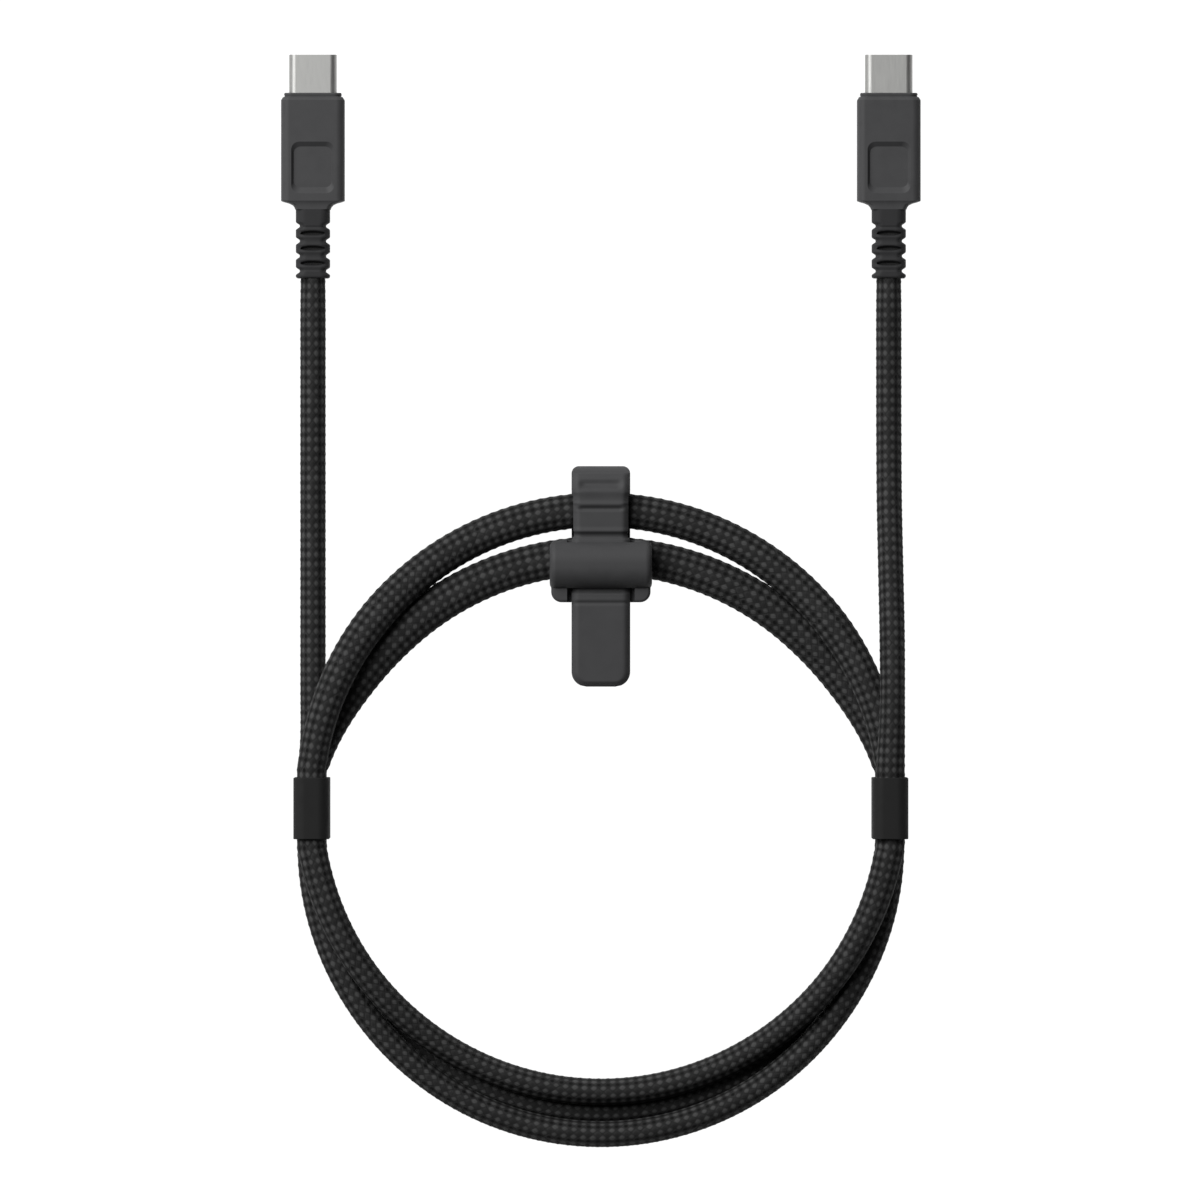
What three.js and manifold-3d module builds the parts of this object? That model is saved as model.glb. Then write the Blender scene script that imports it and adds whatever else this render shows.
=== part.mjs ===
// Braided USB-C charging cable, coiled for storage.
//
// Millimetres, +Z up. The cable lies on the plane Z = 0, its two plugs side by side and pointing
// along +Y, and its coil towards -Y. The coil is wound two and a half times as one helix: each pass
// over the top or round the bottom starts one level higher in the side bands than the pass before.
// The model is laid out about the coil's centre and then moved, so that the origin is the bottom
// centre of the box round the plugs, bands and strap.
import * as THREE from 'three';
import Module from 'manifold-3d';
import { mergeVertices } from 'three/addons/utils/BufferGeometryUtils.js';

const wasm = await Module();
wasm.setup();

// ---- driving dimensions ------------------------------------------------------------------------

const GAP = 0.3;              // between pieces that touch on the real cable
const THIN_GAP = 0.1;         // between thin pieces packed inside a plug

const SLEEVE_R = 2.2;         // woven sleeve, outside
const SLEEVE_WALL = 0.5;
const CORE_R = 1.4;           // jacketed bundle of conductors inside the sleeve

const PLUG_X = 49.9;          // the two plugs lie this far either side of the middle
const PLUG_FACE_Y = 126.35;   // front face of a plug's cover
const AXIS_Z = 3.1;           // a plug's centre line, and the lowest strand, above the surface

const SHELL_W = 8.25;         // the standard's plug shell
const SHELL_H = 2.4;
const SHELL_REACH = 6.65;
const SHELL_WALL = 0.3;
const SHELL_ROOT = 4.7;       // length of shell held inside the cover

const COVER_W = 11.0;
const COVER_H = 2 * AXIS_Z;
const COVER_L = 18.8;
const COVER_R = 1.5;
const TAIL_L = 1.4;           // narrow step behind the cover, towards the strain relief

const RELIEF_W = 5.9;
const RELIEF_H = 5.6;
const RELIEF_L = 11.9;

const SIDE_X = 50.0;          // the strands run straight through each band at this X
const STRAIGHT_TOP = 8.4;     // the straight stretch's ends, about the coil's centre
const STRAIGHT_LOW = -3.4;
const LEVELS = [AXIS_Z, AXIS_Z + 5, AXIS_Z + 10];

const BAND_L = 10.6;
const BAND_W = 6.2;
const BAND_H = 16.2;
const BAND_WALL = 0.45;
const BAND_Y = (STRAIGHT_TOP + STRAIGHT_LOW) / 2;

const STRAP_W = 10.1;
const STRAP_T = 1.6;
const STRAP_OUT_Y = 61.7;     // outermost point of the strap's fold
const STRAP_IN_Y = 40.5;      // inner face of the strap where it climbs to the keeper
const STRAP_RUN_Z = 7.5;      // underside of the strap's upper run
const GROOVE_DEPTH = 0.5;     // moulded grooves across the strap's upper run
const TOP_STRAND_Z = 4.0;     // the two strands that the strap holds

const KEEPER_W = 17.2;
const KEEPER_LOW_Y = 38.1;
const KEEPER_HIGH_Y = 49.0;
const BRIDGE_W = 17.6;
const BRIDGE_LOW_Y = 40.3;
const SLOT_W = 11.8;
const SLOT_Z = [7.2, 9.4];
const KEEPER_Z = 6.5;
const BRIDGE_TOP_Z = 11.8;

const TAIL_LOW_Y = 23.5;
const TAIL_W = 10.2;

// ---- colours and finishes ----------------------------------------------------------------------

const finish = (color, roughness, metalness = 0) =>
  new THREE.MeshStandardMaterial({ color, roughness, metalness });

const steel = finish(0xa8a8a6, 0.35, 1);
const gold = finish(0xc9a64a, 0.3, 1);
const tin = finish(0xb9bbbc, 0.45, 1);
const blackNylon = finish(0x141414, 0.6);
const coverPlastic = finish(0x474747, 0.6);
const reliefRubber = finish(0x3d3d3d, 0.7);
const boardGreen = finish(0x1f5a3a, 0.5);
const chipBlack = finish(0x1b1b1d, 0.4);
const braid = finish(0x2a2a2a, 0.9);
const corePvc = finish(0x777777, 0.6);
const bandRubber = finish(0x2b2b2b, 0.7);
const strapRubber = finish(0x484848, 0.65);

// ---- shapes ------------------------------------------------------------------------------------

// A rectangle with round corners, about (cx, cy); a stadium when the radius is half the height.
function roundedRect(target, width, height, radius, cx = 0, cy = 0) {
  const x = width / 2 - radius;
  const y = height / 2 - radius;
  target.absarc(cx + x, cy - y, radius, -Math.PI / 2, 0, false);
  target.absarc(cx + x, cy + y, radius, 0, Math.PI / 2, false);
  target.absarc(cx - x, cy + y, radius, Math.PI / 2, Math.PI, false);
  target.absarc(cx - x, cy - y, radius, Math.PI, 1.5 * Math.PI, false);
  target.closePath();
  return target;
}

const plate = (width, height, radius, cx, cy) =>
  roundedRect(new THREE.Shape(), width, height, radius, cx, cy);

function tubeSection(width, height, radius, wall) {
  const shape = plate(width, height, radius);
  const inner = Math.max(radius - wall, 0.1);
  shape.holes.push(roundedRect(new THREE.Path(), width - 2 * wall, height - 2 * wall, inner));
  return shape;
}

function polygon(points) {
  return new THREE.Shape(points.map(([x, y]) => new THREE.Vector2(x, y)));
}

// The section is drawn in X and Z, and runs from yLow to yHigh.
function alongY(shape, yLow, yHigh, curveSegments = 4, bevel = null) {
  const length = yHigh - yLow - (bevel ? 2 * bevel.depth : 0);
  const settings = { depth: length, curveSegments, bevelEnabled: bevel !== null };
  if (bevel) {
    settings.bevelThickness = bevel.depth;
    settings.bevelSize = bevel.size;
    settings.bevelOffset = -bevel.size;
    settings.bevelSegments = bevel.steps;
  }
  const geometry = new THREE.ExtrudeGeometry(shape, settings);
  geometry.rotateX(Math.PI / 2);
  return geometry.translate(0, yHigh - (bevel ? bevel.depth : 0), 0);
}

// The section is drawn in Y and Z, and is centred on X = 0.
function alongX(shape, width, curveSegments = 6) {
  const geometry = new THREE.ExtrudeGeometry(shape, {
    depth: width, bevelEnabled: false, curveSegments,
  });
  geometry.translate(0, 0, -width / 2);
  const [x, y, z] = [[1, 0, 0], [0, 1, 0], [0, 0, 1]].map((axis) => new THREE.Vector3(...axis));
  return geometry.applyMatrix4(new THREE.Matrix4().makeBasis(y, z, x));
}

// The section is drawn in X and Y, and runs from zLow to zHigh.
function alongZ(shape, zLow, zHigh, curveSegments = 4) {
  const geometry = new THREE.ExtrudeGeometry(shape, {
    depth: zHigh - zLow, bevelEnabled: false, curveSegments,
  });
  return geometry.translate(0, 0, zLow);
}

function block([x0, x1], [y0, y1], [z0, z1]) {
  const geometry = new THREE.BoxGeometry(x1 - x0, y1 - y0, z1 - z0);
  return geometry.translate((x0 + x1) / 2, (y0 + y1) / 2, (z0 + z1) / 2);
}

// ---- cuts and joins ----------------------------------------------------------------------------

function solid(source) {
  const bare = source.clone();
  bare.deleteAttribute('normal');
  bare.deleteAttribute('uv');
  const merged = mergeVertices(bare, 1e-4);
  return new wasm.Manifold(new wasm.Mesh({
    numProp: 3,
    vertProperties: new Float32Array(merged.attributes.position.array),
    triVerts: new Uint32Array(merged.index.array),
  }));
}

function geometryOf(manifold) {
  const mesh = manifold.getMesh();
  const geometry = new THREE.BufferGeometry();
  geometry.setAttribute('position', new THREE.BufferAttribute(mesh.vertProperties, 3));
  geometry.setIndex(new THREE.BufferAttribute(mesh.triVerts, 1));
  return geometry;
}

const join = (...pieces) => pieces.map(solid).reduce((a, b) => a.add(b));
const cut = (body, ...tools) => tools.map(solid).reduce((a, b) => a.subtract(b), body);

// ---- model -------------------------------------------------------------------------------------

const model = new THREE.Group();

function add(parent, name, geometry, material) {
  const mesh = new THREE.Mesh(geometry, material);
  mesh.name = name;
  parent.add(mesh);
}

// A plug, about its own centre line: Y = 0 is the cover's front face and +Y is towards the tip.

function plugCover() {
  const body = alongY(plate(COVER_W, COVER_H, COVER_R), -COVER_L, 0, 4,
    { depth: 1.1, size: 0.8, steps: 2 });
  const step = alongY(plate(7.2, 5.5, 1.3), -COVER_L - TAIL_L, -COVER_L + 1);
  const shellSlot = alongY(plate(SHELL_W + 0.2, SHELL_H + 0.2, SHELL_H / 2 + 0.1), -5.5, 1, 8);
  const cavity = alongY(plate(9.4, 4.6, 0.6), -18.0, -5.0);
  const wireHole = alongY(plate(4.2, 3.4, 0.6), -21, -17.5);
  const recess = alongZ(plate(7.1, 8.8, 1.4, 0, -13.1), COVER_H / 2 - 0.35, COVER_H / 2 + 1);
  return geometryOf(cut(join(body, step), shellSlot, cavity, wireHole, recess));
}

function contactRow() {
  const PITCH = 0.5;
  const HALF_FINGER = 0.12;
  const ROOT_Y = -4.9;
  const TIP_Y = 4.8;
  const outline = [[-2.95, -6.4], [2.95, -6.4], [2.95, ROOT_Y]];
  for (let i = 11; i >= 0; i -= 1) {
    const x = (i - 5.5) * PITCH;
    outline.push([x + HALF_FINGER, ROOT_Y], [x + HALF_FINGER, TIP_Y]);
    outline.push([x - HALF_FINGER, TIP_Y], [x - HALF_FINGER, ROOT_Y]);
  }
  outline.push([-2.95, ROOT_Y]);
  return alongZ(polygon(outline), -0.06, 0.06);
}

function latchPlate() {
  const right = [
    [3.2, -4.7], [3.2, 5.2], [2.75, 5.0], [2.95, 4.4], [2.95, -1.0],
  ];
  const left = right.map(([x, y]) => [-x, y]).reverse();
  return alongZ(polygon([...right, ...left]), -THIN_GAP, THIN_GAP);
}

function strainRelief() {
  const front = -COVER_L - TAIL_L - THIN_GAP;
  const body = alongY(plate(RELIEF_W, RELIEF_H, 1.6), front - RELIEF_L, front);
  const boss = alongY(plate(3.9, 3.1, 0.5), front - 0.5, front + 1.8);
  const tools = [];
  const NOTCH_PITCH = 2.55;
  for (let i = 0; i < 4; i += 1) {
    const y = front - 2.8 - i * NOTCH_PITCH;
    for (const side of [-1, 1]) {
      tools.push(block([side * 3.1 - 0.7, side * 3.1 + 0.7], [y - 0.5, y + 0.5], [-4, 4]));
    }
  }
  for (let i = 0; i < 3; i += 1) {
    const y = front - 4.1 - i * NOTCH_PITCH;
    for (const side of [-1, 1]) {
      tools.push(block([-1.8, 1.8], [y - 0.35, y + 0.35], [side * 2.5 - 1, side * 2.5 + 1]));
    }
  }
  return geometryOf(cut(join(body, boss), ...tools));
}

function wire(radius, x, z) {
  const geometry = new THREE.CylinderGeometry(radius, radius, 5.8, 8);
  return geometry.translate(x, -15.5, z);
}

const WIRES = [
  ['vbus_wire', 0.5, -1.3, 0.85, finish(0xa02020, 0.5)],
  ['ground_wire', 0.5, 1.3, 0.85, finish(0x202020, 0.5)],
  ['cc_wire', 0.35, -1.5, -0.7, finish(0x2b59a8, 0.5)],
  ['data_plus_wire', 0.35, 0, -0.7, finish(0x2f8a45, 0.5)],
  ['data_minus_wire', 0.35, 1.5, -0.7, finish(0xd8d8d4, 0.5)],
];

function addPlug(side, x) {
  const plug = new THREE.Group();
  plug.position.set(x, PLUG_FACE_Y, AXIS_Z);
  const shell = tubeSection(SHELL_W, SHELL_H, SHELL_H / 2, SHELL_WALL);
  add(plug, `${side}_plug_shell`, alongY(shell, -SHELL_ROOT, SHELL_REACH, 8), steel);
  const insulator = plate(7.5, 1.65, 0.8);
  insulator.holes.push(roundedRect(new THREE.Path(), 6.7, 0.86, 0.1));
  add(plug, `${side}_plug_insulator`, alongY(insulator, -SHELL_ROOT, 6.2, 4), blackNylon);
  add(plug, `${side}_contact_row_top`, contactRow().translate(0, 0, 0.35), gold);
  add(plug, `${side}_contact_row_bottom`, contactRow().translate(0, 0, -0.35), gold);
  add(plug, `${side}_latch_plate`, latchPlate(), steel);
  add(plug, `${side}_paddle_card`, block([-3.7, 3.7], [-15.2, -5.0], [-0.25, 0.25]), boardGreen);
  add(plug, `${side}_marker_chip`, block([-1, 1], [-10.2, -8.2], [0.3, 0.9]), chipBlack);
  add(plug, `${side}_shield_can`, alongY(tubeSection(9.2, 4.4, 0.5, 0.2), -16.2, -5.2, 2), tin);
  for (const [name, radius, wx, wz, material] of WIRES) {
    add(plug, `${side}_${name}`, wire(radius, wx, wz), material);
  }
  add(plug, `${side}_plug_cover`, plugCover(), coverPlastic);
  add(plug, `${side}_strain_relief`, strainRelief(), reliefRubber);
  model.add(plug);
}

// The cable's centre line, about the coil's centre. The leads' points are chosen by hand and the
// coil's half turns are worked out. Each half turn is an arc of a circle whose centre is moved up
// or down from the coil's, so that the passes part from each other; near the bands it is eased
// sideways to the bands' own X, and it moves smoothly from one level to the next.

const LEAD_END_Y = PLUG_FACE_Y - COVER_L - TAIL_L - THIN_GAP - RELIEF_L - GAP;

const LEFT_LEAD = [
  [-PLUG_X, LEAD_END_Y, AXIS_Z], [-PLUG_X, 80, AXIS_Z], [-PLUG_X, 66, AXIS_Z],
  [-PLUG_X, 52, AXIS_Z], [-PLUG_X, 38, AXIS_Z], [-PLUG_X, 24, AXIS_Z],
];
const RIGHT_LEAD = [
  [50.35, 20, 12.9], [50.35, 32, 11.2], [50.15, 44, 8.2], [49.95, 56, 5.4], [PLUG_X, 68, 3.7],
  [PLUG_X, 80, AXIS_Z], [PLUG_X, LEAD_END_Y, AXIS_Z],
];

// [radius, centre's Y, height at the middle, level it starts on, level it ends on]
const LOW_MIDDLE = [50.25, 0, AXIS_Z, 0, 0];
const TOP_INNER = [51.0, -4.8, TOP_STRAND_Z, 0, 1];
const LOW_OUTER = [50.0, -3.95, 6.95, 1, 1];
const TOP_OUTER = [50.2, 3.9, TOP_STRAND_Z, 1, 2];
const LOW_INNER = [50.5, 3.85, 6.95, 2, 2];
const STEPS_PER_PASS = 12;
const EASED_SHARE = 0.3;      // share of a quarter turn over which a pass is eased to the band

const { smoothstep } = THREE.MathUtils;

function pass([radius, centreY, middleZ, from, to], over) {
  const points = [];
  const sign = over ? 1 : -1;
  const endY = over ? STRAIGHT_TOP : STRAIGHT_LOW;
  const start = Math.asin((sign * (endY - centreY)) / radius);
  const easedX = SIDE_X - radius * Math.cos(start);
  for (let i = 0; i <= STEPS_PER_PASS; i += 1) {
    const u = i / STEPS_PER_PASS;
    const fromEnd = 1 - Math.abs(2 * u - 1);
    const turn = start + (Math.PI - 2 * start) * u;
    const side = sign * (u < 0.5 ? 1 : -1);
    const ease = side * easedX * (1 - smoothstep(fromEnd, 0, EASED_SHARE));
    const level = LEVELS[u < 0.5 ? from : to];
    points.push([
      sign * radius * Math.cos(turn) + ease,
      centreY + sign * radius * Math.sin(turn),
      level + (middleZ - level) * smoothstep(fromEnd, 0.12, 0.74),
    ]);
  }
  return points;
}

const leftBandTop = [-SIDE_X, STRAIGHT_TOP, LEVELS[0]];
const rightBandTop = [SIDE_X, STRAIGHT_TOP, LEVELS[2]];

const ROUTE = [
  ...LEFT_LEAD, leftBandTop,
  ...pass(LOW_MIDDLE, false), ...pass(TOP_INNER, true), ...pass(LOW_OUTER, false),
  ...pass(TOP_OUTER, true), ...pass(LOW_INNER, false),
  rightBandTop, ...RIGHT_LEAD,
].map(([x, y, z]) => new THREE.Vector3(x, y, z));

// A tube with one ring of its section on each point of the route.
function alongRoute(section) {
  const path = new THREE.CatmullRomCurve3(ROUTE);
  path.getUtoTmapping = (u) => u;
  return new THREE.ExtrudeGeometry(section, {
    steps: ROUTE.length - 1, extrudePath: path, bevelEnabled: false, curveSegments: 1,
  });
}

// A regular polygon with its corners on the circle.
function ring(radius, sides) {
  return Array.from({ length: sides }, (_, i) => {
    const angle = (2 * Math.PI * (i + 0.5)) / sides;
    return new THREE.Vector2(radius * Math.cos(angle), radius * Math.sin(angle));
  });
}

function cableSleeve() {
  const section = new THREE.Shape(ring(SLEEVE_R, 10));
  section.holes.push(new THREE.Path(ring(SLEEVE_R - SLEEVE_WALL, 8)));
  return alongRoute(section);
}

const cableCore = () => alongRoute(new THREE.Shape(ring(CORE_R, 8)));

function band(x) {
  const tube = alongY(tubeSection(BAND_W, BAND_H, 1.6, BAND_WALL), -BAND_L / 2, BAND_L / 2, 3);
  return tube.translate(x, BAND_Y, BAND_H / 2);
}

// The strap's fixed part in profile: up from under the inner strand's inner side, back along the
// surface under both strands, round the fold and over them to the end of the keeper's slot.
function strapLoop() {
  const topZ = STRAP_RUN_Z + STRAP_T;
  const outerR = topZ / 2;
  const foldY = STRAP_OUT_Y - outerR;
  const innerR = outerR - STRAP_T;
  const wallTop = KEEPER_Z - THIN_GAP;
  const slotEnd = KEEPER_LOW_Y + GAP;
  const CORNER = 1.8;
  const shape = new THREE.Shape();
  shape.moveTo(STRAP_IN_Y, wallTop);
  shape.lineTo(STRAP_IN_Y, CORNER);
  shape.absarc(STRAP_IN_Y + CORNER, CORNER, CORNER, Math.PI, 1.5 * Math.PI, false);
  shape.lineTo(foldY, 0);
  shape.absarc(foldY, outerR, outerR, -Math.PI / 2, Math.PI / 2, false);
  for (const [high, low] of [[55.1, 54.2], [50.4, 49.5]]) {
    shape.lineTo(high, topZ);
    shape.lineTo(high - 0.2, topZ - GROOVE_DEPTH);
    shape.lineTo(low + 0.2, topZ - GROOVE_DEPTH);
    shape.lineTo(low, topZ);
  }
  shape.lineTo(slotEnd, topZ);
  shape.lineTo(slotEnd, STRAP_RUN_Z);
  shape.lineTo(foldY, STRAP_RUN_Z);
  shape.absarc(foldY, outerR, innerR, Math.PI / 2, -Math.PI / 2, true);
  shape.lineTo(STRAP_IN_Y + CORNER, STRAP_T);
  shape.lineTo(STRAP_IN_Y + STRAP_T, STRAP_T + 0.2);
  shape.lineTo(STRAP_IN_Y + STRAP_T, wallTop);
  shape.closePath();
  return alongX(shape, STRAP_W, 8);
}

function keeper() {
  const height = KEEPER_HIGH_Y - KEEPER_LOW_Y;
  const midY = (KEEPER_HIGH_Y + KEEPER_LOW_Y) / 2;
  const base = alongZ(plate(KEEPER_W, height, 2, 0, midY), KEEPER_Z, SLOT_Z[1] + THIN_GAP);
  const slot = block([-SLOT_W / 2, SLOT_W / 2], [KEEPER_LOW_Y - 1, KEEPER_HIGH_Y + 1], SLOT_Z);
  const bridgeSection = plate(KEEPER_HIGH_Y - BRIDGE_LOW_Y, 2 * (BRIDGE_TOP_Z - SLOT_Z[1]), 1.5,
    (KEEPER_HIGH_Y + BRIDGE_LOW_Y) / 2, SLOT_Z[1]);
  const bridge = alongX(bridgeSection, BRIDGE_W);
  const underside = block([-20, 20], [30, 60], [0, SLOT_Z[1]]);
  return geometryOf(cut(solid(base), slot).add(cut(solid(bridge), underside)));
}

function strapTail() {
  const length = KEEPER_LOW_Y - TAIL_LOW_Y;
  const tip = plate(TAIL_W, length, 2.4, 0, TAIL_LOW_Y + length / 2);
  return alongZ(tip, STRAP_RUN_Z - 0.1, STRAP_RUN_Z + STRAP_T + 0.2, 5);
}

for (const [side, x] of [['left', -PLUG_X], ['right', PLUG_X]]) {
  addPlug(side, x);
}
add(model, 'cable_sleeve', cableSleeve(), braid);
add(model, 'cable_core', cableCore(), corePvc);
add(model, 'left_coil_band', band(-SIDE_X), bandRubber);
add(model, 'right_coil_band', band(SIDE_X), bandRubber);
add(model, 'strap_keeper', keeper(), strapRubber);
add(model, 'strap_loop', strapLoop(), strapRubber);
add(model, 'strap_tail', strapTail(), strapRubber);

const TIP_Y = PLUG_FACE_Y + SHELL_REACH;
model.position.y = -(TIP_Y + BAND_Y - BAND_L / 2) / 2;

export default model;
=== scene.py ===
# %% [markdown]
# # A braided charging cable, coiled for storage
# The cable is nylon braid over a soft jacket, with a USB-C plug moulded on each end. Its coil is
# held by two rubber sleeves at the sides and by a silicone strap at the top. This lesson builds
# each visible piece round the engineering model, which gives every place and size.

# %% Load the frame
import math
from contextlib import contextmanager

import bmesh
import bpy
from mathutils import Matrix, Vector


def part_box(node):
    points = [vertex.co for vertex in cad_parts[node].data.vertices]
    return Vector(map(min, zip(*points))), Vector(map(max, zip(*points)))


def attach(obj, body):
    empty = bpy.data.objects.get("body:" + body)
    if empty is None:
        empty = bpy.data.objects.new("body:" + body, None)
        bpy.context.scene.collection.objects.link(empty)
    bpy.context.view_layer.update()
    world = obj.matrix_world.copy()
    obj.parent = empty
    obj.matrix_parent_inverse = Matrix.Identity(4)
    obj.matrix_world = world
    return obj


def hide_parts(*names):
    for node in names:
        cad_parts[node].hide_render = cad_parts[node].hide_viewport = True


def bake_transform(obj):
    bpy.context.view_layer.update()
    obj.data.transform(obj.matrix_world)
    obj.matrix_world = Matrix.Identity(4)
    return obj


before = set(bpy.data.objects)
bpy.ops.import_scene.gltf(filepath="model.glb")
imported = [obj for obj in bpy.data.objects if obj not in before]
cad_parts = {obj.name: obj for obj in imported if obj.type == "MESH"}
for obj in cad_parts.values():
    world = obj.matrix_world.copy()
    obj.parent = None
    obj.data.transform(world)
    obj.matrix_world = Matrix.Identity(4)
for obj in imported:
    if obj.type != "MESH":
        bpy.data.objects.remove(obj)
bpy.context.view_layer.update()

# %% [markdown]
# ## Places
# The drawing's numbers are millimetres about the coil's centre, and Blender works in metres.
# One function turns the first into the second. The coil's centre is found from the tip of a plug,
# which the frame gives.

# %% Units and the coil's centre
MM = 0.001
TIP_Y = 133.0                 # tip of a plug, in front of the coil's centre
PLUG_X = 49.9
AXIS_Z = 3.1
COIL_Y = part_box("left_plug_shell")[1].y - TIP_Y * MM


def place(x, y, z):
    """A point of the drawing, in metres in the frame."""
    return Vector((x * MM, COIL_Y + y * MM, z * MM))


print("coil centre:", [round(c, 5) for c in place(0, 0, 0)])

# %% [markdown]
# ## Camera
# A catalogue picture of a flat object is taken from straight above with a long lens, so that
# nothing leans. The lens here is 500 mm on a 36 mm sensor, and the camera is as high as it must
# be for the field to be 208 mm wide on the plane of the plugs.

# %% Camera
LENS = 500.0
SENSOR = 36.0
FIELD = 208.0
AIM = (-0.15, 38.5)
camera_height = AXIS_Z + FIELD * LENS / SENSOR
bpy.ops.object.camera_add(location=place(*AIM, camera_height), rotation=(0, 0, 0))
camera = bpy.context.object
camera.name = "copy_stand_camera"
camera.data.lens = LENS
camera.data.sensor_width = SENSOR
camera.data.clip_start = 0.05
bpy.context.scene.camera = camera
print("camera height:", round(camera_height), "mm")

# %% [markdown]
# ## Light and floor
# Dark rubber and braid on white paper are hard to light: what makes the paper white makes the
# rubber flat, and what shapes the rubber throws grey shadows on the paper. So the two have
# lamps of their own, which Blender's light linking allows. One large soft box at the upper left
# shapes the cable, a sun straight above whitens all the paper alike, and a dim sky fills both.
# The sky gives little light, but where it is seen itself it is a pale wall.

# %% Soft box, sun and sky
KEY_SPOT = (-774, 815, 1080)
bpy.ops.object.light_add(type="AREA", location=place(*KEY_SPOT))
key = bpy.context.object
key.name = "key_soft_box"
key.data.size = 1.3
key.data.energy = 41.0
key.rotation_euler = (place(*AIM, 0) - key.location).to_track_quat("-Z", "Y").to_euler()

bpy.ops.object.light_add(type="SUN", location=place(0, 0, 1000))
paper_sun = bpy.context.object
paper_sun.name = "paper_sun"
paper_sun.data.energy = 3.35

world = bpy.data.worlds.new("dim_sky")
world.use_nodes = True
sky = world.node_tree
dim = sky.nodes["Background"]
dim.inputs["Color"].default_value = (1, 1, 1, 1)
dim.inputs["Strength"].default_value = 0.1
wall = sky.nodes.new("ShaderNodeBackground")
wall.inputs["Color"].default_value = (0.93, 0.93, 0.93, 1)
seen = sky.nodes.new("ShaderNodeLightPath")
either = sky.nodes.new("ShaderNodeMixShader")
sky.links.new(seen.outputs["Is Camera Ray"], either.inputs[0])
sky.links.new(dim.outputs[0], either.inputs[1])
sky.links.new(wall.outputs[0], either.inputs[2])
sky.links.new(either.outputs[0], sky.nodes["World Output"].inputs["Surface"])
bpy.context.scene.world = world
bpy.context.scene.view_settings.view_transform = "Standard"

# %% [markdown]
# The paper lies under the lowest surface. A collection that holds only the paper is what the
# key leaves out, what the sun lights, and all that casts a shadow from the sun.

# %% Paper and light linking
PAPER_DROP = 0.2              # the paper lies this far under the lowest surface, in mm
bpy.ops.mesh.primitive_plane_add(size=12, location=(0, 0, -PAPER_DROP * MM))
floor = bpy.context.object
floor.name = "paper_floor"


def only_paper(name, state):
    """A light-linking collection in which the paper is taken in or left out."""
    linked = bpy.data.collections.new(name)
    linked.objects.link(floor)
    linked.collection_objects[0].light_linking.link_state = state
    return linked


key.light_linking.receiver_collection = only_paper("key_leaves_out", "EXCLUDE")
paper_sun.light_linking.receiver_collection = only_paper("sun_lights", "INCLUDE")
paper_sun.light_linking.blocker_collection = only_paper("sun_shadows", "INCLUDE")

# %% [markdown]
# ## Helpers for materials
# A shader is a small graph. One function turns a hex colour into the linear numbers that sockets
# take, one adds a node with its settings and links, and one starts a material.


# %% Material helpers
def linear(hex_colour):
    """An sRGB hex colour as linear RGBA."""
    channels = [int(hex_colour[i:i + 2], 16) / 255 for i in (1, 3, 5)]
    curve = [c / 12.92 if c <= 0.04045 else ((c + 0.055) / 1.055) ** 2.4 for c in channels]
    return (*curve, 1.0)


def add_node(material, kind, inputs, **settings):
    """Adds a node. An input is a value, or an output socket to link it from."""
    tree = material.node_tree
    node = tree.nodes.new(kind)
    for name, value in settings.items():
        setattr(node, name, value)
    for socket, value in inputs.items():
        if isinstance(value, bpy.types.NodeSocket):
            tree.links.new(value, node.inputs[socket])
        else:
            node.inputs[socket].default_value = value
    return node


def start_material(name, colour, roughness, metallic=0.0, specular=0.5):
    """A material with a Principled shader, and that shader."""
    material = bpy.data.materials.new(name)
    material.use_nodes = True
    shader = material.node_tree.nodes["Principled BSDF"]
    shader.inputs["Base Color"].default_value = linear(colour)
    shader.inputs["Roughness"].default_value = roughness
    shader.inputs["Metallic"].default_value = metallic
    shader.inputs["Specular IOR Level"].default_value = specular
    shader.inputs["IOR"].default_value = 1.5
    return material, shader


def link(material, output, shader, socket):
    material.node_tree.links.new(output, shader.inputs[socket])


# %% [markdown]
# ## Paper
# The floor is seamless background paper: almost white, quite matt, with a very faint tooth.

# %% Background paper
paper, shader = start_material("seamless_paper", "#f6f6f6", 0.95, specular=0.1)
coordinates = add_node(paper, "ShaderNodeTexCoord", {})
tooth = add_node(paper, "ShaderNodeTexNoise",
                 {"Vector": coordinates.outputs["Object"], "Scale": 900.0, "Detail": 2.0})
relief = add_node(paper, "ShaderNodeBump",
                  {"Height": tooth.outputs["Fac"], "Strength": 0.1, "Distance": 0.02 * MM})
link(paper, relief.outputs["Normal"], shader, "Normal")
floor.data.materials.append(paper)

# %% [markdown]
# ## Moulded plastics and rubbers
# The covers are PC-ABS from a spark-eroded mould, which leaves a fine even grit of about 0.1 mm.
# The strain reliefs are TPE and the strap and keeper are silicone: both matt, with a softer,
# larger mottle where fingers have touched them. All of them share one recipe: a mottled colour,
# a mottled roughness and a grit in the bump, with other numbers for each.


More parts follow.
